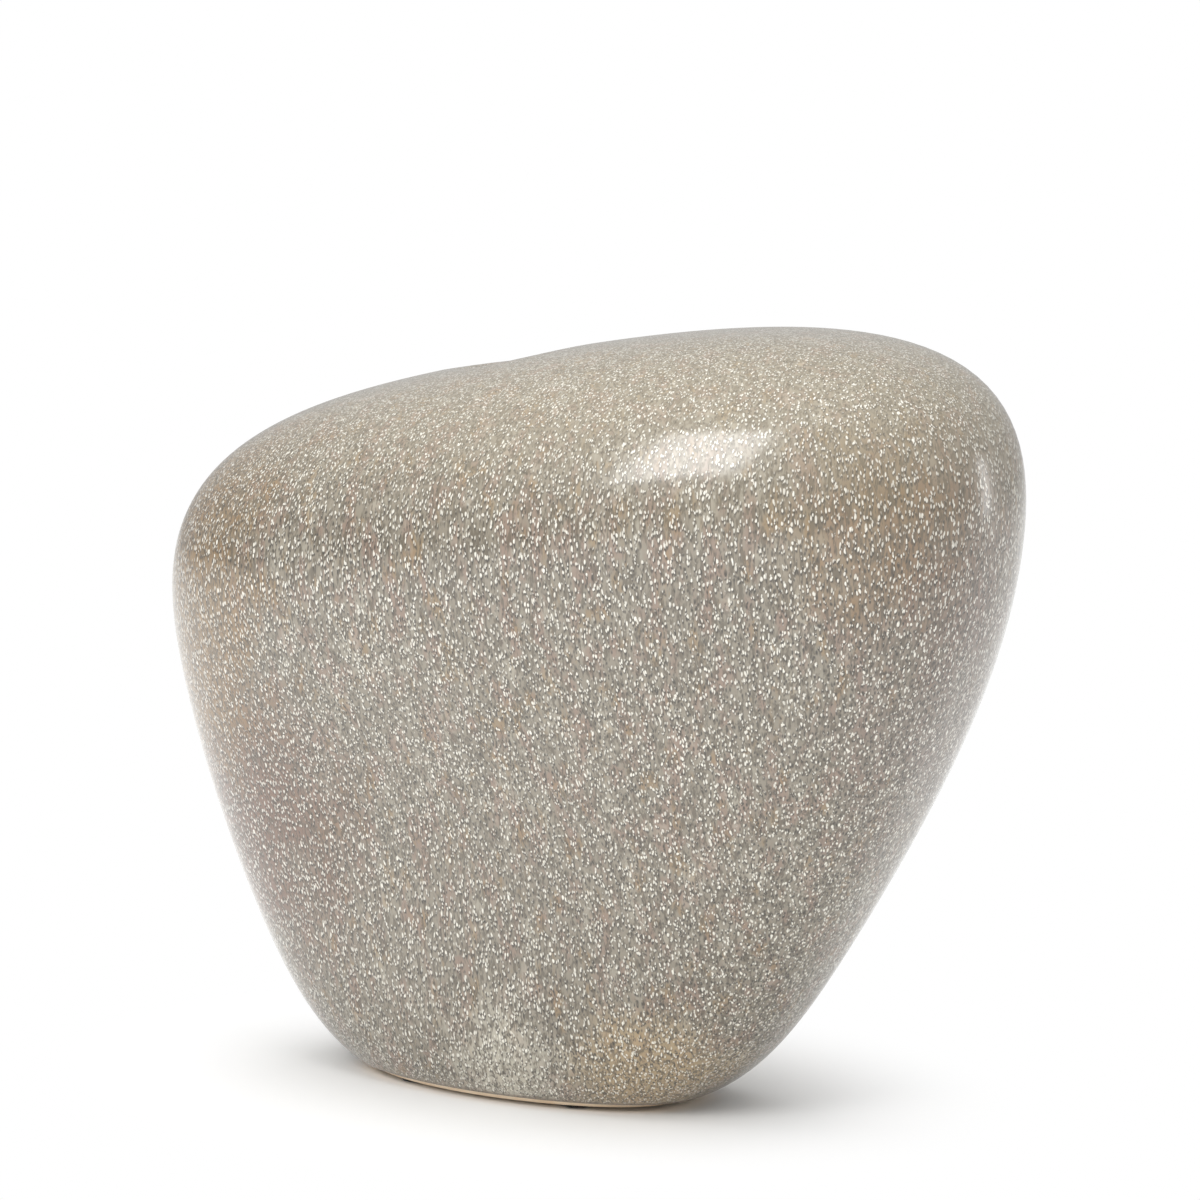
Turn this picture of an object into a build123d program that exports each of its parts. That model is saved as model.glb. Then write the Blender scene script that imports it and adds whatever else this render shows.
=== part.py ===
from build123d import *
import math
import os

# Pillow vase: a leaning, flattened pebble of glazed stoneware on a small bare foot.
# Millimetres and degrees. X runs along the length, Y through the depth, Z up.
# The origin is on the table, under the middle of the vase.

# Pebble form. Planes round a core point and two broad faces are blended into one smooth skin.
# A reach is a distance from the core, a slope is a plane's tilt.
core_height = 120.9             # core point above the clay foot
crown_reach = 81.6
crown_slope = 12.5              # the crown falls away to the left
right_shoulder_reach = 182.0
right_shoulder_slope = 39.5     # faces up from level
right_flank_reach = 131.0
right_flank_slope = 32.0        # faces down from level
left_end_reach = 113.6
left_end_slope = 8.5            # faces up from level
left_flank_reach = 114.3
left_flank_slope = 31.7         # faces down from level
face_reach = 61.0               # the broad front and back faces, level with the core
face_lean = 21.3                # added to that reach straight up, taken off it straight down
underside_drop = 7.2            # the underside plane lies this far below the clay foot
edge_blend = 3.75               # between the planes round the edge; higher is a tighter corner
face_blend = 2.5                # between the edge and the broad faces
underside_blend = 8.2

# Coats and walls
outer_glaze_thickness = 0.8
clay_thickness = 4.5
liner_glaze_thickness = 0.5
floor_thickness = 7.0
bare_foot_height = 1.4          # unglazed band of clay above the foot

# Mouth in the crown
mouth_radius = 15.0             # free radius inside the glaze
mouth_bearing = 4.5             # direction of the mouth from the core, right of straight up
lip_inner_radius = 4.0          # roll of the lip on the innermost coat
neck_straight = 6.0             # straight neck below the rolled lip

# Foot ring and felt pads
foot_ring_width = 10.0
foot_recess_depth = 2.0
pad_radius = 4.0
pad_thickness = 1.0
pad_places = [0.25, 0.75]        # along each half of the ring, as shares of its length

# Rings that the skin is lofted through
lip_rings = 5
skin_rings = 18
half_ring = 18                  # points along half a ring
ring_stretch = 1.6              # draws the points towards the two long ends
level_halvings = 40             # steps in the search for a level on the skin

clay_inset = outer_glaze_thickness
liner_inset = clay_inset + clay_thickness
water_inset = liner_inset + liner_glaze_thickness
neck_depth = lip_inner_radius + water_inset + neck_straight
foot_level = pad_thickness
glaze_level = foot_level + bare_foot_height
floor_level = foot_level + floor_thickness
underside_reach = core_height + underside_drop
steps = range(half_ring + 1)


def bearing(angle):
    """Unit direction in the XZ plane, at an angle right of straight up."""
    turn = math.radians(angle)
    return Vector(math.sin(turn), 0, math.cos(turn))


edge_planes = [
    (bearing(-crown_slope), crown_reach),
    (bearing(90 - right_shoulder_slope), right_shoulder_reach),
    (bearing(90 + right_flank_slope), right_flank_reach),
    (bearing(left_end_slope - 90), left_end_reach),
    (bearing(-90 - left_flank_slope), left_flank_reach),
]


def skin_reach(direction, inset):
    """Distance from the core to the skin along a direction, for a skin inset from the outside."""
    edge = 0.0
    for normal, reach in edge_planes:
        edge += max(0.0, direction.dot(normal) / (reach - inset)) ** edge_blend
    edge = edge ** (1 / edge_blend)
    face = abs(direction.Y) / (face_reach + face_lean * direction.Z - inset)
    side = (edge ** face_blend + face ** face_blend) ** (1 / face_blend)
    under = max(0.0, -direction.Z / (underside_reach - inset))
    return (side ** underside_blend + under ** underside_blend) ** (-1 / underside_blend)


def crown_normal(direction):
    """Outward normal of the skin where an upward direction in the XZ plane meets it."""
    total = Vector(0, 0, 0)
    for normal, reach in edge_planes:
        weight = max(0.0, direction.dot(normal) / reach) ** (edge_blend - 1) / reach
        total += normal * weight
    return total.normalized()


# The core stands where the two ends of the vase are equally far from the origin
outline = [bearing(angle).X * skin_reach(bearing(angle), 0) for angle in range(360)]
core = Vector(-(max(outline) + min(outline)) / 2, 0, foot_level + core_height)
to_mouth = bearing(mouth_bearing)
mouth_axis = crown_normal(to_mouth)
mouth_rise = skin_reach(to_mouth, 0)
mouth_centre = core + to_mouth * mouth_rise
lip_angle = math.degrees(math.atan2(mouth_radius + lip_inner_radius + water_inset, mouth_rise))


def outward(step, axis):
    """Unit direction square to an axis, at one step round the back half of a ring."""
    angle = math.pi * step / half_ring
    along = bearing(mouth_bearing + 90) * (ring_stretch * math.cos(angle))
    sideways = along + Vector(0, math.sin(angle), 0)
    return (sideways - axis * sideways.dot(axis)).normalized()


def half_curve(points):
    """Smooth curve round half a ring, which runs on into its mirror image at both ends."""
    # Slopes at the ends are five-point slopes, with the mirror image giving two of the points
    start = half_ring * (8 * points[1].Y - points[2].Y) / 6
    finish = half_ring * (8 * points[-2].Y - points[-3].Y) / 6
    tangents = [Vector(0, start, 0), Vector(0, -finish, 0)]
    shares = [step / half_ring for step in steps]
    return Edge.make_spline(points, tangents=tangents, parameters=shares, scale=False)


def both_halves(half):
    """A half of the symmetric vase with its mirror image."""
    return [half, half.mirror(Plane.XZ)]


def neck_curve(depth, inset):
    """Round ring of the straight neck, at a depth below the crown."""
    centre = mouth_centre - mouth_axis * depth
    return half_curve([centre + outward(step, mouth_axis) * (mouth_radius + inset) for step in steps])


def lip_curve(roll, inset):
    """Ring on the rolled lip, from the neck (0 degrees) out to the crown (90 degrees)."""
    turn = math.radians(roll)
    lip_radius = lip_inner_radius + water_inset - inset
    radius = mouth_radius + inset + lip_radius * (1 - math.cos(turn))
    drop = lip_radius * (1 - math.sin(turn))
    points = []
    for step in steps:
        direction = (mouth_centre + outward(step, mouth_axis) * radius - core).normalized()
        points.append(core + direction * skin_reach(direction, inset) - mouth_axis * drop)
    return half_curve(points)


def skin_point(step, angle, inset):
    """Point of the skin at one step round a ring, at an angle from the mouth's bearing."""
    turn = math.radians(angle)
    direction = to_mouth * math.cos(turn) + outward(step, to_mouth) * math.sin(turn)
    return core + direction * skin_reach(direction, inset)


def level_angle(step, level, inset):
    """Angle from the mouth's bearing at which the skin comes down to a level."""
    high = 90.0
    low = 180.0
    for halving in range(level_halvings):
        middle = (high + low) / 2
        if skin_point(step, middle, inset).Z > level:
            high = middle
        else:
            low = middle
    return low


def level_points(level, inset):
    """Points round half of the flat ring where the skin comes down to a level."""
    points = [skin_point(step, level_angle(step, level, inset), inset) for step in steps]
    return [Vector(point.X, point.Y, level) for point in points]


def half_skin(inset, base_level):
    """Half of one coat's skin, from the end of the neck over the lip and down to a level."""
    curves = [neck_curve(neck_depth, inset), neck_curve(neck_depth - neck_straight / 2, inset)]
    for number in range(lip_rings + 1):
        curves.append(lip_curve(90 * number / lip_rings, inset))
    spans = [level_angle(step, base_level, inset) - lip_angle for step in steps]
    for number in range(1, skin_rings):
        angles = [lip_angle + span * number / skin_rings for span in spans]
        curves.append(half_curve([skin_point(step, angles[step], inset) for step in steps]))
    curves.append(half_curve(level_points(base_level, inset)))
    return Shell.make_loft([Wire([curve]) for curve in curves]).face()


def rims(half):
    """The two closed ends of a skin: its base, then the end of its neck."""
    edges = half.edges().sort_by(Axis.Z)
    return [Wire(both_halves(edge)) for edge in (edges[0], edges[-1])]


def coat(halves, ends):
    """Solid between skins, closed by flat faces."""
    faces = list(ends)
    for half in halves:
        faces += both_halves(half)
    return Solid(Shell(faces))


glaze_outside = half_skin(0, glaze_level)
clay_outside = half_skin(clay_inset, glaze_level)
clay_inside = half_skin(liner_inset, floor_level)
water_outside = half_skin(water_inset, floor_level + liner_glaze_thickness)
foot_points = level_points(foot_level, clay_inset)


def foot_track(shrink):
    """Half of a curve that runs inside the clay foot's outline at a distance."""
    points = [foot_points[0] - Vector(shrink, 0, 0)]
    for before, place, after in zip(foot_points, foot_points[1:], foot_points[2:]):
        heading = after - before
        points.append(place + Vector(-heading.Y, heading.X, 0).normalized() * shrink)
    points.append(foot_points[-1] + Vector(shrink, 0, 0))
    return half_curve(points)


def stoneware_body():
    band_edge = clay_outside.edges().sort_by(Axis.Z)[0]
    foot_band = Shell.make_loft([Wire([half_curve(foot_points)]), Wire([band_edge])], ruled=True).face()
    foot = Face(Wire(both_halves(half_curve(foot_points))))
    floor_rim, inner_neck = rims(clay_inside)
    neck_end = Face(inner_neck, [rims(clay_outside)[1]])
    shell = coat([clay_outside, foot_band, clay_inside], [foot, Face(floor_rim), neck_end])
    recess = Face(Wire(both_halves(foot_track(foot_ring_width))))
    return shell - extrude(recess, foot_recess_depth, dir=(0, 0, 1))


def outer_glaze():
    outer_base, outer_neck = rims(glaze_outside)
    inner_base, inner_neck = rims(clay_outside)
    ends = [Face(outer_base, [inner_base]), Face(inner_neck, [outer_neck])]
    return coat([glaze_outside, clay_outside], ends)


def liner_glaze():
    outer_floor, outer_neck = rims(clay_inside)
    inner_floor, inner_neck = rims(water_outside)
    ends = [Face(outer_floor), Face(inner_floor), Face(inner_neck, [outer_neck])]
    return coat([clay_inside, water_outside], ends)


def felt_pads():
    """Round pads in the middle of the foot ring, a pair on each half."""
    disc = Cylinder(pad_radius, pad_thickness, align=(Align.CENTER, Align.CENTER, Align.MAX))
    pads = []
    for share in pad_places:
        seat = foot_track(foot_ring_width / 2).position_at(share)
        pads += both_halves(Pos(seat.X, seat.Y, foot_level) * disc)
    return pads


nodes = {
    "stoneware_body": stoneware_body(),
    "outer_glaze": outer_glaze(),
    "liner_glaze": liner_glaze(),
}
for number, pad in enumerate(felt_pads(), start=1):
    nodes[f"felt_pad_{number}"] = pad

os.makedirs("parts", exist_ok=True)
for name, shape in nodes.items():
    export_step(shape, f"parts/{name}.step")
    print(name, len(shape.solids()), "solid,", round(shape.volume / 1000, 2), "cm3")
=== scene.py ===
# %% [markdown]
# # A pillow vase in speckled glaze
# The vase is a leaning, flattened pebble of stoneware. A speckled glaze covers the outside and
# turns in over the mouth, a second glaze lines the water chamber, and a thin band of bare clay
# shows above the foot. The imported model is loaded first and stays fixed, so every piece that is
# made here lies in the place that its solid holds. Lengths are in metres.

# %% Load the fixed frame
import math

import bmesh
import bpy
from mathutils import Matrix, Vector, noise


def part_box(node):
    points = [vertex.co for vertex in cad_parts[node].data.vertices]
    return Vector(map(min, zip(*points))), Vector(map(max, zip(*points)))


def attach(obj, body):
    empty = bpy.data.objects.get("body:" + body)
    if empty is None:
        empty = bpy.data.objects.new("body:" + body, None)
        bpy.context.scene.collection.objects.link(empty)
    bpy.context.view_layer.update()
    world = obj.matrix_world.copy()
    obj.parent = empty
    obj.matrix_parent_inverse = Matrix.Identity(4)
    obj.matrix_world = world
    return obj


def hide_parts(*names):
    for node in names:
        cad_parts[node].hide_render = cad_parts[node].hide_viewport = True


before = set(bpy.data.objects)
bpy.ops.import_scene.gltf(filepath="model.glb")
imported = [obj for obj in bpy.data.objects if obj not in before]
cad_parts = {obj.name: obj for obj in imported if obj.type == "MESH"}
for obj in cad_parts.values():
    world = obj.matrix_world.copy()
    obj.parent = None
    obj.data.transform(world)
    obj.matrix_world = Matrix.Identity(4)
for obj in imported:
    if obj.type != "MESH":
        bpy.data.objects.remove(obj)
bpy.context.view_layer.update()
print("nodes:", sorted(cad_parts))

# %% [markdown]
# ## The pebble's form
# The real body was cast in a mould, so it has no seams and no straight lines. It could be sculpted
# by eye, or the solid's own triangles could be copied, but a shiny glaze shows every facet. The
# form is a blend of five sloping planes round its edge, two broad faces and an underside. The
# solid follows the same rule, so here each point of the skin is worked out exactly from it.

# %% Sizes of the pebble
core_height = 0.1209
crown_reach, crown_slope = 0.0816, 12.5
right_shoulder_reach, right_shoulder_slope = 0.182, 39.5
right_flank_reach, right_flank_slope = 0.131, 32.0
left_end_reach, left_end_slope = 0.1136, 8.5
left_flank_reach, left_flank_slope = 0.1143, 31.7
face_reach, face_lean = 0.061, 0.0213
underside_drop = 0.0072
edge_blend = 3.75
face_blend = 2.5
underside_blend = 8.2

outer_glaze_thickness = 0.0008
clay_thickness = 0.0045
liner_glaze_thickness = 0.0005
floor_thickness = 0.007
bare_foot_height = 0.0014

foot_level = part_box("felt_pad_1")[1].z
glaze_level = foot_level + bare_foot_height
water_inset = outer_glaze_thickness + clay_thickness + liner_glaze_thickness
water_floor = foot_level + floor_thickness + liner_glaze_thickness
underside_reach = core_height + underside_drop


# %% Rule for the skin
def bearing(angle):
    """Unit direction in the XZ plane, at an angle in degrees right of straight up."""
    turn = math.radians(angle)
    return Vector((math.sin(turn), 0, math.cos(turn)))


edge_planes = [
    (bearing(-crown_slope), crown_reach),
    (bearing(90 - right_shoulder_slope), right_shoulder_reach),
    (bearing(90 + right_flank_slope), right_flank_reach),
    (bearing(left_end_slope - 90), left_end_reach),
    (bearing(-90 - left_flank_slope), left_flank_reach),
]


def skin_reach(direction, inset):
    """Distance from the core to the skin, for a skin inset from the outside."""
    edge = 0.0
    for normal, reach in edge_planes:
        edge += max(0.0, direction.dot(normal) / (reach - inset)) ** edge_blend
    edge = edge ** (1 / edge_blend)
    face = abs(direction.y) / (face_reach + face_lean * direction.z - inset)
    side = (edge ** face_blend + face ** face_blend) ** (1 / face_blend)
    under = max(0.0, -direction.z / (underside_reach - inset))
    return (side ** underside_blend + under ** underside_blend) ** (-1 / underside_blend)


outline = [bearing(angle).x * skin_reach(bearing(angle), 0) for angle in range(360)]
core = Vector((-(max(outline) + min(outline)) / 2, 0, foot_level + core_height))
print("core:", [round(place, 4) for place in core])

# %% [markdown]
# ## The mouth
# The mouth is a round hole in the crown. Its lip rolls inwards into a short neck, as a finger
# would press the wet clay. The neck follows the crown's own slope, so its axis is the skin's
# normal at the mouth.

# %% Place of the mouth
mouth_radius = 0.015
mouth_bearing = 4.5
lip_inner_radius = 0.004
neck_straight = 0.006
neck_depth = lip_inner_radius + water_inset + neck_straight

to_mouth = bearing(mouth_bearing)
mouth_centre = core + to_mouth * skin_reach(to_mouth, 0)
mouth_axis = Vector((0, 0, 0))
for normal, reach in edge_planes:
    mouth_axis += normal * (max(0.0, to_mouth.dot(normal) / reach) ** (edge_blend - 1) / reach)
mouth_axis.normalize()
print("mouth at", [round(place, 4) for place in mouth_centre])


# %% [markdown]
# ## One column of the skin
# Every coat of the vase runs the same way: up the neck, over the lip and down the side to a
# level. A column is one such line, at one angle round the mouth. The columns stand closer
# together at the two long ends, where the pebble turns quickly.

# %% Points down a column
columns = 224
neck_rows = 5
lip_rows = 12
side_rows = 104
column_rows = neck_rows + lip_rows + side_rows
end_crowding = 1.6
level_halvings = 32


def outward(around, axis):
    """Unit direction square to an axis, at an angle round it."""
    along = bearing(mouth_bearing + 90) * (end_crowding * math.cos(around))
    sideways = along + Vector((0, math.sin(around), 0))
    return (sideways - axis * sideways.dot(axis)).normalized()


def lip_point(around, roll, inset):
    """Point of the rolled lip, from the neck (0) out to the crown (a quarter turn)."""
    lip_radius = lip_inner_radius + water_inset - inset
    radius = mouth_radius + inset + lip_radius * (1 - math.cos(roll))
    drop = lip_radius * (1 - math.sin(roll))
    direction = (mouth_centre + outward(around, mouth_axis) * radius - core).normalized()
    return core + direction * skin_reach(direction, inset) - mouth_axis * drop


def column_points(around, inset, base_level):
    """Points of one column, from the end of the neck down to a level."""
    neck_end = mouth_centre - mouth_axis * neck_depth
    neck_end += outward(around, mouth_axis) * (mouth_radius + inset)
    neck_top = lip_point(around, 0, inset)
    points = [neck_end.lerp(neck_top, row / neck_rows) for row in range(neck_rows)]
    points += [lip_point(around, math.pi / 2 * row / lip_rows, inset) for row in range(lip_rows)]

    start = (lip_point(around, math.pi / 2, inset) - core).normalized()
    side = (start - to_mouth * start.dot(to_mouth)).normalized()

    def side_point(angle):
        direction = to_mouth * math.cos(angle) + side * math.sin(angle)
        return core + direction * skin_reach(direction, inset)

    first = to_mouth.angle(start)
    high, low = math.pi / 2, math.pi
    for halving in range(level_halvings):
        middle = (high + low) / 2
        if side_point(middle).z > base_level:
            high = middle
        else:
            low = middle
    points += [side_point(first + (high - first) * row / side_rows) for row in range(side_rows + 1)]
    return points


print("points down a column:", len(column_points(0, 0, glaze_level)))


# %% [markdown]
# ## From a flat washer to a coat
# A lathe shape can be spun in one go, but the pebble isn't round. So a straight wire is spun into
# a flat washer of even rings first, which gives clean squares and a closed seam. Each point of
# the washer then moves to its own row and column on the vase, like a collar that is drawn on.

# %% Spin a washer and draw it on
def drawn_skin(inset, base_level):
    """Mesh of one skin of the vase, open at the neck's end and at the base."""
    paths = [column_points(2 * math.pi * column / columns, inset, base_level) for column in range(columns)]
    skin = bmesh.new()
    wire = [skin.verts.new((1 + row, 0, 0)) for row in range(column_rows + 1)]
    wire += [skin.edges.new(pair) for pair in zip(wire, wire[1:])]
    bmesh.ops.spin(skin, geom=wire, axis=(0, 0, 1), cent=(0, 0, 0), angle=2 * math.pi, steps=columns,
                   use_merge=True)
    for vert in skin.verts:
        row = round(vert.co.xy.length - 1)
        column = round(math.atan2(vert.co.y, vert.co.x) / (2 * math.pi) * columns) % columns
        vert.co = paths[column][row]
    bmesh.ops.recalc_face_normals(skin, faces=skin.faces)
    return skin


print("skins have", columns, "columns and", column_rows + 1, "rows")

# %% From a skin to a piece
sharp_angle = 50
edge_segments = 3


def shown_piece(name, mesh_in_progress, *nodes):
    """Object of a finished mesh, which stands for its nodes of the frame."""
    for face in mesh_in_progress.faces:
        face.smooth = True
    mesh = bpy.data.meshes.new(name)
    mesh_in_progress.to_mesh(mesh)
    mesh_in_progress.free()
    piece = bpy.data.objects.new(name, mesh)
    bpy.context.scene.collection.objects.link(piece)
    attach(piece, "root")
    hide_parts(*nodes)
    print(name, len(mesh.polygons), "faces")
    return piece


def thicken(piece, thickness, edge_round):
    """Gives a skin its wall, behind the faces, and rounds the wall's edges."""
    wall = piece.modifiers.new("wall", "SOLIDIFY")
    wall.thickness = thickness
    wall.offset = -1
    wall.use_even_offset = True
    rounding = piece.modifiers.new("rounded_edges", "BEVEL")
    rounding.width = edge_round
    rounding.segments = edge_segments
    rounding.limit_method = "ANGLE"
    rounding.angle_limit = math.radians(sharp_angle)


print("edges sharper than", sharp_angle, "degrees are rounded")


# %% [markdown]
# ## The outer glaze
# The glaze is a coat under a millimetre thick, from the end of the neck over the lip and down to
# the line that was wiped clean above the foot. A Solidify modifier gives the skin its wall, and a
# small bevel rounds the wiped edge, where real glaze draws back into a soft bead.

# %% Outer glaze piece
glaze_edge_round = 0.00025

glaze_piece = shown_piece("glaze_coat", drawn_skin(0, glaze_level), "outer_glaze")
thicken(glaze_piece, outer_glaze_thickness, glaze_edge_round)

# %% [markdown]
# ## The liner glaze
# Inside, a thin watertight glaze was poured round and emptied out again. Its skin is drawn on in
# the same way, further in. The floor is filled, its corner is bevelled into the curve that the
# pouring leaves, and the faces are turned to look into the chamber, so that the wall grows
# outwards, towards the clay.

# %% Liner glaze piece
floor_corner_round = 0.0012
floor_margin = 0.002
liner_edge_round = liner_glaze_thickness / 4

liner_skin = drawn_skin(water_inset, water_floor)
floor_ring = [edge for edge in liner_skin.edges if edge.is_boundary and edge.verts[0].co.z < core.z]
bmesh.ops.contextual_create(liner_skin, geom=floor_ring)
bmesh.ops.bevel(liner_skin, geom=floor_ring, offset=floor_corner_round, affect="EDGES", segments=3,
                profile=0.5, material=-1, clamp_overlap=True)
floor_face = [max(liner_skin.faces, key=lambda face: len(face.verts))]
bmesh.ops.inset_region(liner_skin, faces=floor_face, thickness=floor_margin, use_even_offset=True)
bmesh.ops.recalc_face_normals(liner_skin, faces=liner_skin.faces)
bmesh.ops.reverse_faces(liner_skin, faces=liner_skin.faces)
liner_piece = shown_piece("liner_coat", liner_skin, "liner_glaze")
thicken(liner_piece, liner_glaze_thickness, liner_edge_round)

# %% [markdown]
# ## Felt pads
# Four thin discs of felt keep the bare foot off the table. Cut felt is never a perfect cylinder:
# its rim is soft and a little ragged. Each pad is a circle that is extruded, rounded at its lower
# rim and then roughened with a little noise, always inwards, so that it stays in its seat.

# %% Felt pad pieces
pad_segments = 72
rim_round = 0.00035
raggedness = 0.00016
fibre_size = 0.0006


def felt_pad(node):
    """One felt disc in the place of its node."""
    low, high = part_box(node)
    radius = (high.x - low.x) / 2
    middle = (low + high) / 2
    pad = bmesh.new()
    bmesh.ops.create_circle(pad, cap_ends=True, segments=pad_segments, radius=radius)
    bmesh.ops.translate(pad, verts=pad.verts, vec=(middle.x, middle.y, high.z))
    drawn = bmesh.ops.extrude_face_region(pad, geom=pad.faces[:])["geom"]
    lower = [part for part in drawn if isinstance(part, bmesh.types.BMVert)]
    bmesh.ops.translate(pad, verts=lower, vec=(0, 0, low.z - high.z))
    rim = [edge for edge in pad.edges if all(vert in lower for vert in edge.verts)]
    bmesh.ops.bevel(pad, geom=rim, offset=rim_round, affect="EDGES", segments=4, profile=0.5, material=-1)
    for vert in pad.verts:
        from_middle = Vector((vert.co.x - middle.x, vert.co.y - middle.y, 0))
        wear = raggedness * abs(noise.noise(vert.co / fibre_size))
        vert.co -= from_middle.normalized() * wear
    bmesh.ops.recalc_face_normals(pad, faces=pad.faces)
    piece = shown_piece(node.replace("felt_pad", "felt_disc"), pad, node)
    return piece


pad_nodes = [node for node in sorted(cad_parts) if node.startswith("felt_pad")]
pad_pieces = [felt_pad(node) for node in pad_nodes]

# %% [markdown]
# ## Nodes for the finishes
# Each finish is a small network of shader nodes. A few helpers keep the code short: one turns a
# colour as seen on a screen into the linear numbers that the renderer works with, one adds a node
# and sets its inputs, and the others make the sums and blends that every finish needs.

# %% Helpers for shader nodes
noise_middle = 0.5


def screen_colour(red, green, blue):
    """Linear colour of a colour given in screen values from 0 to 255."""
    linear = []
    for value in (red / 255, green / 255, blue / 255):
        linear.append(value / 12.92 if value <= 0.04045 else ((value + 0.055) / 1.055) ** 2.4)
    return (*linear, 1)


def add(tree, kind, settings=None, **inputs):
    """Adds a node. Settings are its own fields, and inputs are values or other nodes' sockets.

    A space in a socket's name is written as an underscore, and a socket's number has one before it.
    """
    node = tree.nodes.new(kind)
    for field, value in (settings or {}).items():
        setattr(node, field, value)
    for name, value in inputs.items():
        socket = node.inputs[int(name[1:])] if name[1:].isdigit() else node.inputs[name.replace("_", " ")]
        if isinstance(value, bpy.types.NodeSocket):
            tree.links.new(value, socket)
        else:
            socket.default_value = value
    return node


def blank_group(name, inputs, outputs):
    """New node group with named sockets. Returns the tree, its input node and its output node."""
    tree = bpy.data.node_groups.new(name, "ShaderNodeTree")
    for socket, kind in inputs.items():
        tree.interface.new_socket(socket, in_out="INPUT", socket_type=kind)
    for socket, kind in outputs.items():
        tree.interface.new_socket(socket, in_out="OUTPUT", socket_type=kind)
    return tree, tree.nodes.new("NodeGroupInput"), tree.nodes.new("NodeGroupOutput")


def blank_material(name):
    """New material. Returns it with its tree and its Principled shader."""
    material = bpy.data.materials.new(name)
    material.use_nodes = True
    return material, material.node_tree, material.node_tree.nodes["Principled BSDF"]


def fade(tree, value, start, finish):
    """Mask that rises smoothly from 0 at the start value to 1 at the finish value."""
    ramp = add(tree, "ShaderNodeMapRange", {"interpolation_type": "SMOOTHSTEP"},
               Value=value, From_Min=start, From_Max=finish)
    return ramp.outputs["Result"]


def math_node(tree, operation, first, second):
    """Result of a sum on two values."""
    return add(tree, "ShaderNodeMath", {"operation": operation}, _0=first, _1=second).outputs["Value"]


def mixed(tree, mask, share, under, over):
    """Colour that changes to another one where a mask is 1, as far as a share allows."""
    part = math_node(tree, "MULTIPLY", mask, share)
    return add(tree, "ShaderNodeMix", {"data_type": "RGBA"}, _0=part, _6=under, _7=over).outputs[2]


def group(tree, kind, **inputs):
    """Places a node group with its own values."""
    return add(tree, "ShaderNodeGroup", {"node_tree": kind}, **inputs)


print("helpers ready")

# %% [markdown]
# ## Specks
# The glaze is full of small pale seeds, drawn out a little as the glaze ran down. Below each seed
# lies a small hollow, painted dark as the shade that the raised seed would cast below it, and between
# the seeds run fine dark channels. A Voronoi texture scatters a point in every cell, and near the
# point is the seed. The same pattern a little lower gives the painted shade of the pits, and noise
# that is drawn out downwards gives the channels. Both glazes use the specks, with their own pitch,
# so they are a node group.

# %% Sizes of the specks, as shares of a cell
smallest_seed, largest_seed = 0.28, 0.48
seed_core_share = 0.6
faintest_seed = 0.6
waver_scale = 0.55
waver_width = 1.3
# The shaded pits sit a little below each seed: painted shade under the raised seed.
shaded_pit_offset = (-0.22, 0.0, 0.34)
shaded_pit_size = 0.56
shaded_pit_core = shaded_pit_size * 0.25
channel_run = (1.0, 1.0, 0.45)
channel_scale = 0.85
channel_edge, channel_bed = 0.54, 0.38
hollow_depth = 0.5
print("seeds:", smallest_seed, "to", largest_seed, "of a cell")

# %% Cells of the speck group
speck_tree, speck_in, speck_out = blank_group(
    "glaze_specks",
    {"Vector": "NodeSocketVector", "Per Metre": "NodeSocketFloat", "Run": "NodeSocketFloat"},
    {"Seed": "NodeSocketFloat", "Shaded Pit": "NodeSocketFloat", "Channel": "NodeSocketFloat",
     "Height": "NodeSocketFloat"},
)
stretch = add(speck_tree, "ShaderNodeCombineXYZ", X=1.0, Y=1.0, Z=speck_in.outputs["Run"])
run_down = add(speck_tree, "ShaderNodeVectorMath", {"operation": "MULTIPLY"},
               _0=speck_in.outputs["Vector"], _1=stretch.outputs["Vector"])
cells = add(speck_tree, "ShaderNodeVectorMath", {"operation": "SCALE"},
            Vector=run_down.outputs["Vector"], Scale=speck_in.outputs["Per Metre"])
waver = add(speck_tree, "ShaderNodeTexNoise", Vector=cells.outputs["Vector"], Scale=waver_scale,
            Detail=1.0)
waver_both_ways = add(speck_tree, "ShaderNodeVectorMath", {"operation": "SUBTRACT"},
                      _0=waver.outputs["Color"], _1=(noise_middle,) * 3)
bent_cells = add(speck_tree, "ShaderNodeVectorMath", {"operation": "MULTIPLY_ADD"},
                 _0=waver_both_ways.outputs["Vector"], _1=(waver_width,) * 3, _2=cells.outputs["Vector"])
print("cells run down and waver")

# %% Seeds
scatter = add(speck_tree, "ShaderNodeTexVoronoi", Vector=bent_cells.outputs["Vector"], Scale=1.0)
chance = add(speck_tree, "ShaderNodeSeparateColor", Color=scatter.outputs["Color"])
seed_size = add(speck_tree, "ShaderNodeMapRange", Value=chance.outputs["Red"],
                To_Min=smallest_seed, To_Max=largest_seed).outputs["Result"]
seed_core = math_node(speck_tree, "MULTIPLY", seed_size, seed_core_share)
seed_round = fade(speck_tree, scatter.outputs["Distance"], seed_size, seed_core)
seed_strength = add(speck_tree, "ShaderNodeMapRange", Value=chance.outputs["Blue"],
                    To_Min=faintest_seed, To_Max=1.0).outputs["Result"]
seed = math_node(speck_tree, "MULTIPLY", seed_round, seed_strength)
print("seeds scattered")

# %% Painted shade pits and channels
beside = add(speck_tree, "ShaderNodeVectorMath", {"operation": "ADD"},
             _0=bent_cells.outputs["Vector"], _1=shaded_pit_offset)
shaded_pit_scatter = add(speck_tree, "ShaderNodeTexVoronoi", Vector=beside.outputs["Vector"], Scale=1.0)
shaded_pit_round = fade(speck_tree, shaded_pit_scatter.outputs["Distance"], shaded_pit_size, shaded_pit_core)
between = math_node(speck_tree, "SUBTRACT", 1.0, seed_round)
shaded_pit = math_node(speck_tree, "MULTIPLY", shaded_pit_round, between)

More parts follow.
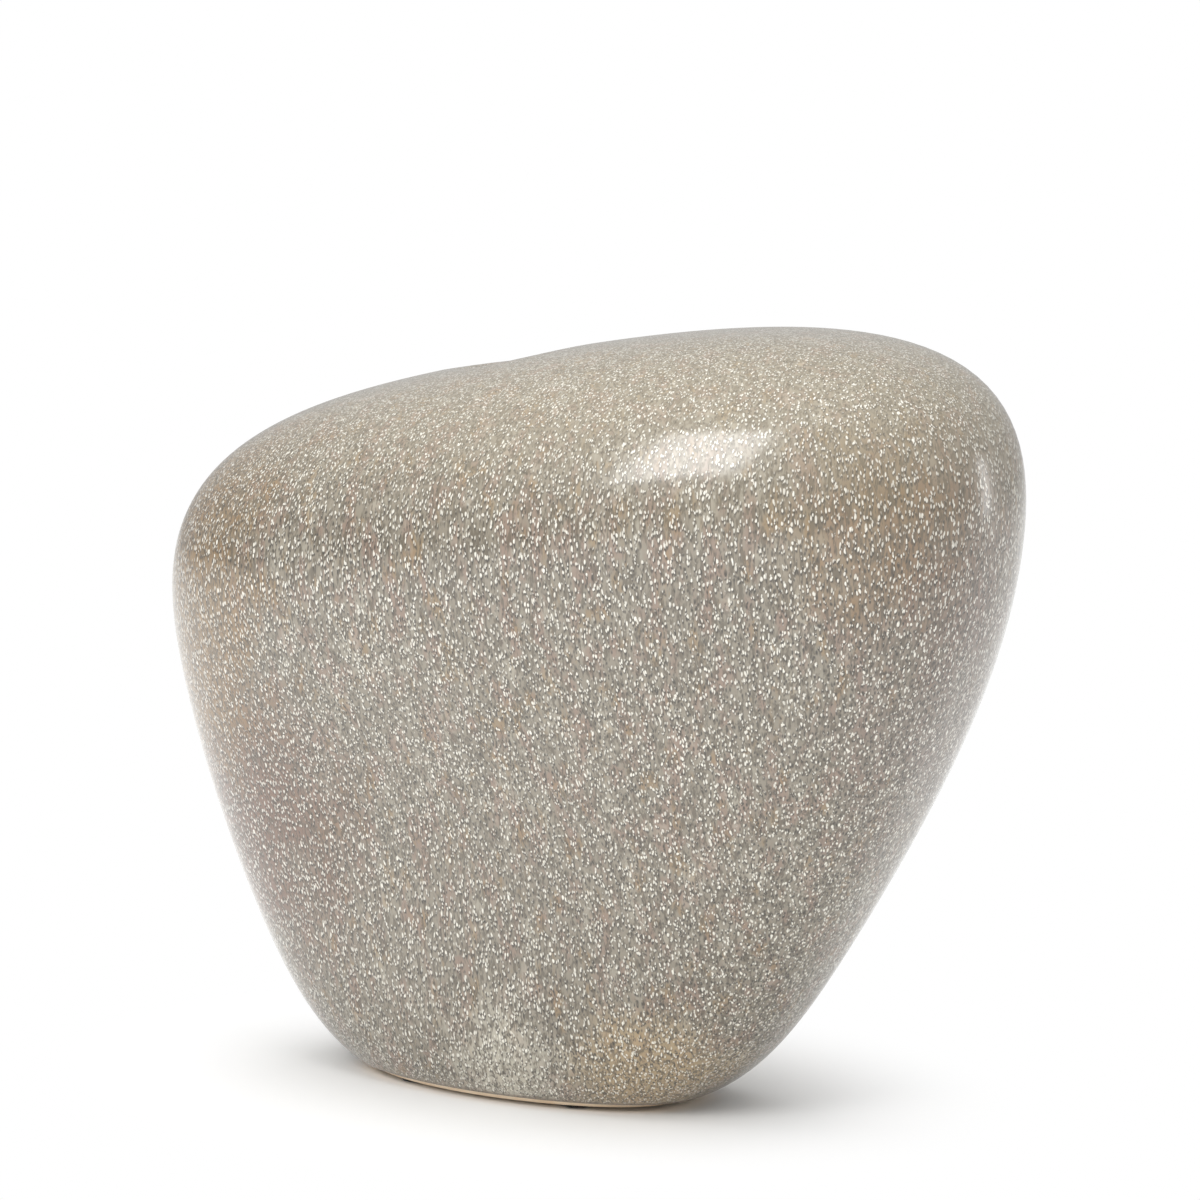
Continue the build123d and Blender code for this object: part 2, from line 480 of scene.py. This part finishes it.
channel_cells = add(speck_tree, "ShaderNodeVectorMath", {"operation": "MULTIPLY"},
                    _0=bent_cells.outputs["Vector"], _1=channel_run)
channel_noise = add(speck_tree, "ShaderNodeTexNoise", Vector=channel_cells.outputs["Vector"],
                    Scale=channel_scale, Detail=2.0, Roughness=0.6)
channel_line = fade(speck_tree, channel_noise.outputs["Fac"], channel_edge, channel_bed)
channel = math_node(speck_tree, "MULTIPLY", channel_line, between)

hollows = math_node(speck_tree, "ADD", shaded_pit, channel)
sunk = math_node(speck_tree, "MULTIPLY", hollows, hollow_depth)
height = math_node(speck_tree, "SUBTRACT", seed, sunk)
speck_tree.links.new(seed, speck_out.inputs["Seed"])
speck_tree.links.new(shaded_pit, speck_out.inputs["Shaded Pit"])
speck_tree.links.new(channel, speck_out.inputs["Channel"])
speck_tree.links.new(height, speck_out.inputs["Height"])
print("speck group:", len(speck_tree.nodes), "nodes")

# %% [markdown]
# ## Streaks
# As the kiln cools, the colour of the glaze breaks into mauve, ochre and pale grey streaks that run
# downwards. One group makes such a streak mask from noise that is drawn out upright, and each
# colour places it with its own size and threshold.

# %% Streak group
streak_tree, streak_in, streak_out = blank_group(
    "glaze_streaks",
    {"Vector": "NodeSocketVector", "Shift": "NodeSocketVector", "Per Metre": "NodeSocketFloat",
     "Run": "NodeSocketFloat", "From": "NodeSocketFloat", "To": "NodeSocketFloat"},
    {"Mask": "NodeSocketFloat"},
)
squeeze = add(streak_tree, "ShaderNodeCombineXYZ", X=1.0, Y=1.0, Z=streak_in.outputs["Run"])
upright = add(streak_tree, "ShaderNodeVectorMath", {"operation": "MULTIPLY_ADD"},
              _0=streak_in.outputs["Vector"], _1=squeeze.outputs["Vector"], _2=streak_in.outputs["Shift"])
streak_noise = add(streak_tree, "ShaderNodeTexNoise", Vector=upright.outputs["Vector"],
                   Scale=streak_in.outputs["Per Metre"], Detail=3.0, Roughness=0.6)
streak_mask = fade(streak_tree, streak_noise.outputs["Fac"], streak_in.outputs["From"],
                   streak_in.outputs["To"])
streak_tree.links.new(streak_mask, streak_out.inputs["Mask"])
print("streak group:", len(streak_tree.nodes), "nodes")

# %% [markdown]
# ## Soft patches
# Some tints lie in one place: rose and tan at the left end, violet, rose and tan at the right end,
# a pale and a sandy patch just above the foot. A soft patch is the distance from a point, turned
# into a mask. A little noise is added to the distance, so that no patch has a round edge.

# %% Patch group
patch_tree, patch_in, patch_out = blank_group(
    "soft_patch",
    {"Vector": "NodeSocketVector", "Middle": "NodeSocketVector", "Inner": "NodeSocketFloat",
     "Outer": "NodeSocketFloat"},
    {"Mask": "NodeSocketFloat"},
)
patch_distance = add(patch_tree, "ShaderNodeVectorMath", {"operation": "DISTANCE"},
                     _0=patch_in.outputs["Vector"], _1=patch_in.outputs["Middle"])
patch_noise = add(patch_tree, "ShaderNodeTexNoise", Vector=patch_in.outputs["Vector"], Scale=70.0, Detail=3.0)
patch_wave = math_node(patch_tree, "SUBTRACT", patch_noise.outputs["Fac"], noise_middle)
patch_wander = math_node(patch_tree, "MULTIPLY", patch_wave, patch_in.outputs["Outer"])
patch_edge = math_node(patch_tree, "ADD", patch_distance.outputs["Value"], patch_wander)
patch_mask = fade(patch_tree, patch_edge, patch_in.outputs["Outer"], patch_in.outputs["Inner"])
patch_tree.links.new(patch_mask, patch_out.inputs["Mask"])
print("patch group:", len(patch_tree.nodes), "nodes")

# %% [markdown]
# ## Grain
# Bare clay is sandy, felt is fibrous, and the liner has a fine mottle. All of them come from one
# group: fine noise as a height, and broader noise as a tint.

# %% Grain group
tint_coarseness = 0.08
tint_from, tint_to = 0.35, 0.65

grain_tree, grain_in, grain_out = blank_group(
    "fine_grain",
    {"Vector": "NodeSocketVector", "Per Metre": "NodeSocketFloat"},
    {"Grain": "NodeSocketFloat", "Tint": "NodeSocketFloat"},
)
grain_noise = add(grain_tree, "ShaderNodeTexNoise", Vector=grain_in.outputs["Vector"],
                  Scale=grain_in.outputs["Per Metre"], Detail=4.0, Roughness=0.7)
broad_scale = math_node(grain_tree, "MULTIPLY", grain_in.outputs["Per Metre"], tint_coarseness)
tint_noise = add(grain_tree, "ShaderNodeTexNoise", Vector=grain_in.outputs["Vector"],
                 Scale=broad_scale, Detail=2.0)
broad_tint = fade(grain_tree, tint_noise.outputs["Fac"], tint_from, tint_to)
grain_tree.links.new(grain_noise.outputs["Fac"], grain_out.inputs["Grain"])
grain_tree.links.new(broad_tint, grain_out.inputs["Tint"])
print("grain group:", len(grain_tree.nodes), "nodes")

# %% [markdown]
# ## The speckled glaze
# From the ground up: a warm stone grey, mauve, ochre and pale streaks, the tinted patches, fine dark
# channels, the pits painted dark as the shade under the seeds, a paler wash of painted light over the
# crown, and the pale seeds on top. The seeds stand a little proud, so the same pattern drives the
# bump, which breaks the gloss into grains. Round the mouth the glaze is a darker brown, and a thin
# line of painted shade runs along the wiped edge, above the bare clay.

# %% Colours of the glaze
stone_grey = screen_colour(139, 131, 116)
mauve = screen_colour(145, 119, 104)
ochre = screen_colour(148, 120, 79)
tan = screen_colour(140, 111, 69)
rose = screen_colour(120, 91, 75)
violet = screen_colour(130, 116, 106)
sand = screen_colour(182, 157, 117)
pale_grey = screen_colour(198, 192, 176)
# Pale cream of the painted light on the crown.
painted_crown_light = screen_colour(206, 195, 172)
channel_brown = screen_colour(86, 77, 61)
# Dark brown of the painted shade under each seed.
pit_shade_brown = screen_colour(50, 44, 34)
seed_cream = screen_colour(251, 247, 235)
# Brown for the darker lip and for the painted shade along the wiped edge.
lip_brown_and_edge_shade = screen_colour(104, 90, 74)
print("ground:", [round(part, 3) for part in stone_grey[:3]])

# %% Streaks
mauve_share, ochre_share, pale_share = 0.65, 0.6, 0.3

glaze, tree, shader = blank_material("speckled_glaze")
place = add(tree, "ShaderNodeTexCoord").outputs["Object"]

mauve_streaks = group(tree, streak_tree, Vector=place, Per_Metre=190.0, Run=0.35, From=0.49, To=0.63)
ochre_streaks = group(tree, streak_tree, Vector=place, Shift=(0.31, 0.17, 0.05), Per_Metre=230.0, Run=0.35,
                      From=0.55, To=0.68)
pale_streaks = group(tree, streak_tree, Vector=place, Shift=(0.07, 0.43, 0.21), Per_Metre=170.0, Run=0.4,
                     From=0.52, To=0.68)
colour = mixed(tree, mauve_streaks.outputs["Mask"], mauve_share, stone_grey, mauve)
colour = mixed(tree, ochre_streaks.outputs["Mask"], ochre_share, colour, ochre)
colour = mixed(tree, pale_streaks.outputs["Mask"], pale_share, colour, pale_grey)
print("streaks laid on the ground")

# %% Patches
# Tint, share, middle, and the distances where the patch is full and where it ends
patches = [
    (rose, 0.90, (-0.096, -0.044, 0.080), 0.018, 0.064),
    (tan, 0.85, (-0.116, -0.044, 0.132), 0.024, 0.064),
    (tan, 0.45, (-0.088, -0.050, 0.176), 0.008, 0.040),
    (violet, 0.70, (0.126, 0.006, 0.110), 0.020, 0.060),
    (rose, 0.50, (0.128, -0.015, 0.162), 0.010, 0.045),
    (tan, 0.50, (0.116, -0.038, 0.172), 0.008, 0.036),
    (sand, 0.75, (0.038, -0.026, 0.010), 0.008, 0.034),
    (pale_grey, 0.75, (-0.004, -0.035, 0.012), 0.006, 0.026),
]
for tint, share, middle, inner, outer in patches:
    patch = group(tree, patch_tree, Vector=place, Middle=middle, Inner=inner, Outer=outer)
    colour = mixed(tree, patch.outputs["Mask"], share, colour, tint)
print("patches:", len(patches))

# %% Channels, painted shade pits, painted crown light and seeds
channel_share, pit_shade_share, seed_share = 0.75, 0.9, 0.97
crown_light_from, crown_light_to = 0.155, 0.205
crown_light_share = 0.3

specks = group(tree, speck_tree, Vector=place, Per_Metre=1300.0, Run=0.42)
colour = mixed(tree, specks.outputs["Channel"], channel_share, colour, channel_brown)
# Painted shade under each seed, in a dark brown.
colour = mixed(tree, specks.outputs["Shaded Pit"], pit_shade_share, colour, pit_shade_brown)
height_up = add(tree, "ShaderNodeSeparateXYZ", Vector=place).outputs["Z"]
# The crown is painted paler: painted light, as if lit more from above.
crown_light = fade(tree, height_up, crown_light_from, crown_light_to)
colour = mixed(tree, crown_light, crown_light_share, colour, painted_crown_light)
colour = mixed(tree, specks.outputs["Seed"], seed_share, colour, seed_cream)
print("specks on the ground")

# %% Darker lip, and painted shade at the wiped edge
edge_shade_top = glaze_level + 0.0014
edge_shade_full = glaze_level + 0.0004
edge_shade_share = 0.8
lip_full, lip_end = 0.0155, 0.0215
lip_share = 0.5

# Painted shade: a thin dark line along the wiped edge of the glaze, above the bare clay.
wiped_edge_shade = fade(tree, height_up, edge_shade_top, edge_shade_full)
# Round the mouth and into the neck the glaze is a darker brown.
dark_lip = group(tree, patch_tree, Vector=place, Middle=mouth_centre, Inner=lip_full, Outer=lip_end)
colour = mixed(tree, dark_lip.outputs["Mask"], lip_share, colour, lip_brown_and_edge_shade)
colour = mixed(tree, wiped_edge_shade, edge_shade_share, colour, lip_brown_and_edge_shade)
tree.links.new(colour, shader.inputs["Base Color"])
print("thin glaze at the lip and the wiped edge")

# %% Gloss and relief
ground_roughness, seed_roughness = 0.34, 0.24

gloss = add(tree, "ShaderNodeMapRange", Value=specks.outputs["Seed"],
            To_Min=ground_roughness, To_Max=seed_roughness)
tree.links.new(gloss.outputs["Result"], shader.inputs["Roughness"])
relief = add(tree, "ShaderNodeBump", Height=specks.outputs["Height"], Strength=0.6, Distance=0.0005)
tree.links.new(relief.outputs["Normal"], shader.inputs["Normal"])
shader.inputs["Coat Weight"].default_value = 1.0
shader.inputs["Coat IOR"].default_value = 1.6
shader.inputs["Coat Roughness"].default_value = 0.17
glaze_piece.data.materials.append(glaze)
print("glaze material:", len(tree.nodes), "nodes")

# %% [markdown]
# ## Bare clay
# The wiped foot shows the fired body: a peach-cream stoneware, matt and sandy, with a few iron
# specks. The body's own solid has the right shape, with its recess and neck, so it stays as it is
# and only takes this finish.

# %% Bare clay material
clay_cream = screen_colour(246, 226, 200)
clay_peach = screen_colour(240, 215, 185)
iron_brown = screen_colour(140, 104, 76)
iron_from, iron_to = 0.66, 0.74
iron_share = 0.5

clay, tree, shader = blank_material("bare_clay")
place = add(tree, "ShaderNodeTexCoord").outputs["Object"]
clay_grain = group(tree, grain_tree, Vector=place, Per_Metre=1800.0)
clay_ground = mixed(tree, clay_grain.outputs["Tint"], 1.0, clay_cream, clay_peach)
iron = fade(tree, clay_grain.outputs["Grain"], iron_from, iron_to)
clay_colour = mixed(tree, iron, iron_share, clay_ground, iron_brown)
tree.links.new(clay_colour, shader.inputs["Base Color"])
relief = add(tree, "ShaderNodeBump", Height=clay_grain.outputs["Grain"], Strength=0.5, Distance=0.0002)
tree.links.new(relief.outputs["Normal"], shader.inputs["Normal"])
shader.inputs["Roughness"].default_value = 0.85
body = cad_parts["stoneware_body"]
body.data.materials.clear()
body.data.materials.append(clay)
print("clay material:", len(tree.nodes), "nodes")

# %% [markdown]
# ## Liner glaze finish
# The liner is a plain cream glaze, glossy and wet-looking, with larger and fainter seeds than the
# outside and a slight orange-peel.

# %% Liner glaze material
liner_cream = screen_colour(206, 198, 184)
liner_deep = screen_colour(190, 178, 158)
faint_share = 0.3

liner, tree, shader = blank_material("liner_glaze")
place = add(tree, "ShaderNodeTexCoord").outputs["Object"]
peel = group(tree, grain_tree, Vector=place, Per_Metre=400.0)
faint_specks = group(tree, speck_tree, Vector=place, Per_Metre=560.0, Run=0.7)
liner_ground = mixed(tree, peel.outputs["Tint"], 1.0, liner_cream, liner_deep)
liner_colour = mixed(tree, faint_specks.outputs["Seed"], faint_share, liner_ground, seed_cream)
tree.links.new(liner_colour, shader.inputs["Base Color"])
relief = add(tree, "ShaderNodeBump", Height=peel.outputs["Grain"], Strength=0.15, Distance=0.0003)
tree.links.new(relief.outputs["Normal"], shader.inputs["Normal"])
shader.inputs["Roughness"].default_value = 0.2
liner_piece.data.materials.append(liner)
print("liner material:", len(tree.nodes), "nodes")

# %% [markdown]
# ## Felt
# The pads are dark wool felt: no gloss, a soft sheen at the edge and a mottle of charcoal fibres.

# %% Felt material
charcoal = screen_colour(38, 36, 34)
charcoal_worn = screen_colour(66, 62, 58)
fibre_from, fibre_to = 0.4, 0.65

felt, tree, shader = blank_material("dark_felt")
place = add(tree, "ShaderNodeTexCoord").outputs["Object"]
fibres = group(tree, grain_tree, Vector=place, Per_Metre=3000.0)
fibre_mask = fade(tree, fibres.outputs["Grain"], fibre_from, fibre_to)
felt_colour = mixed(tree, fibre_mask, 1.0, charcoal, charcoal_worn)
tree.links.new(felt_colour, shader.inputs["Base Color"])
relief = add(tree, "ShaderNodeBump", Height=fibres.outputs["Grain"], Strength=0.8, Distance=0.0003)
tree.links.new(relief.outputs["Normal"], shader.inputs["Normal"])
shader.inputs["Roughness"].default_value = 0.95
shader.inputs["Sheen Weight"].default_value = 0.3
for piece in pad_pieces:
    piece.data.materials.append(felt)
print("felt material:", len(tree.nodes), "nodes")

# %% [markdown]
# ## Floor and background
# The picture has a plain white ground. The floor is a pale matt disc that keeps the shadow under
# the vase. Away from the vase it fades into plain white for the camera alone, so there is no
# horizon and no extra light falls on the vase. The sky is plain white to the camera as well, and
# half as bright to everything else.

# %% Floor
floor_radius = 3.0
floor_segments = 96
floor_gap = 0.0002
floor_white = screen_colour(250, 250, 249)
shadow_radius = 0.05
white_radius = 0.15
foot_spread = (1.0, 1.35, 1.0)
pad_corners = [corner for node in pad_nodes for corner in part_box(node)]
foot_middle = sum(pad_corners, Vector()) / len(pad_corners)

floor_mesh = bmesh.new()
bmesh.ops.create_circle(floor_mesh, cap_ends=True, segments=floor_segments, radius=floor_radius)
bmesh.ops.translate(floor_mesh, verts=floor_mesh.verts, vec=(0, 0, -floor_gap))
floor_data = bpy.data.meshes.new("floor")
floor_mesh.to_mesh(floor_data)
floor_mesh.free()
floor = bpy.data.objects.new("floor", floor_data)
bpy.context.scene.collection.objects.link(floor)

floor_finish, tree, shader = blank_material("pale_floor")
shader.inputs["Base Color"].default_value = floor_white
shader.inputs["Roughness"].default_value = 0.9
shader.inputs["Specular IOR Level"].default_value = 0.0
place = add(tree, "ShaderNodeTexCoord").outputs["Object"]
from_foot = add(tree, "ShaderNodeVectorMath", {"operation": "SUBTRACT"}, _0=place, _1=foot_middle)
oval = add(tree, "ShaderNodeVectorMath", {"operation": "MULTIPLY"},
           _0=from_foot.outputs["Vector"], _1=foot_spread)
from_vase = add(tree, "ShaderNodeVectorMath", {"operation": "LENGTH"}, _0=oval.outputs["Vector"])
seen = add(tree, "ShaderNodeLightPath").outputs["Is Camera Ray"]
far_away = fade(tree, from_vase.outputs["Value"], shadow_radius, white_radius)
white_mask = math_node(tree, "MULTIPLY", far_away, seen)
white = add(tree, "ShaderNodeEmission", Color=(1, 1, 1, 1), Strength=1.0)
mix = add(tree, "ShaderNodeMixShader", _0=white_mask, _1=shader.outputs["BSDF"],
          _2=white.outputs["Emission"])
tree.links.new(mix.outputs["Shader"], tree.nodes["Material Output"].inputs["Surface"])
floor_data.materials.append(floor_finish)
print("floor radius:", floor_radius)

# %% World
sky_strength = 0.5

world = bpy.data.worlds.new("studio")
world.use_nodes = True
bpy.context.scene.world = world
tree = world.node_tree
background = tree.nodes["Background"]
background.inputs["Color"].default_value = (1, 1, 1, 1)
seen = add(tree, "ShaderNodeLightPath").outputs["Is Camera Ray"]
strength = add(tree, "ShaderNodeMapRange", Value=seen, To_Min=sky_strength, To_Max=1.0)
tree.links.new(strength.outputs["Result"], background.inputs["Strength"])
print("sky:", sky_strength)

# %% [markdown]
# ## Studio light
# The wide highlight on the shoulder is a nearly square softbox, well to the left of the camera.
# The faint upright one at the right end is a narrow box behind the vase. A large box overhead
# lifts the crown, and it is left out of the reflections, so that the crown's specks stay clear. A
# lamp is placed by its bearing round the vase and its rise above the horizon, as seen from the vase.

# %% Lamps
def way_out(bearing_round, rise):
    """Unit direction away from the vase, at a bearing from straight in front and a rise in degrees."""
    around, up = math.radians(bearing_round), math.radians(rise)
    return Vector((math.sin(around) * math.cos(up), -math.cos(around) * math.cos(up), math.sin(up)))


def softbox(name, bearing_round, rise, distance, width, height, power):
    """Soft lamp that looks at the middle of the vase."""
    out = way_out(bearing_round, rise)
    data = bpy.data.lights.new(name, "AREA")
    data.shape = "RECTANGLE"
    data.size = width
    data.size_y = height
    data.energy = power
    lamp = bpy.data.objects.new(name, data)
    lamp.location = core + out * distance
    lamp.rotation_euler = out.to_track_quat("Z", "Y").to_euler()
    bpy.context.scene.collection.objects.link(lamp)
    print(name, "at", [round(part, 2) for part in lamp.location])
    return lamp


softbox("front_softbox", bearing_round=-5, rise=35, distance=1.6, width=0.68, height=0.80, power=11)
softbox("side_strip", bearing_round=138, rise=4, distance=1.5, width=0.14, height=0.44, power=0.8)
overhead = softbox("overhead_softbox", bearing_round=0, rise=88, distance=1.8, width=1.8, height=1.8,
                   power=32)
overhead.visible_glossy = False

# %% [markdown]
# ## Camera
# The camera looks a little down on the vase, from the front and to its right, from far enough
# away that upright lines stay almost parallel.

# %% Camera
view_bearing = 34.0
view_rise = 8.5
view_distance = 1.5
view_aim = Vector((0.0035, 0, 0.1394))
image_width = 1200
focal_pixels = 5399.0

back = way_out(view_bearing, view_rise)
camera_data = bpy.data.cameras.new("camera")
camera_data.lens = camera_data.sensor_width * focal_pixels / image_width
camera = bpy.data.objects.new("camera", camera_data)
camera.location = view_aim + back * view_distance
camera.rotation_euler = back.to_track_quat("Z", "Y").to_euler()
bpy.context.scene.collection.objects.link(camera)
bpy.context.scene.camera = camera
bpy.context.scene.view_settings.view_transform = "Standard"
print("lens:", round(camera_data.lens, 1))
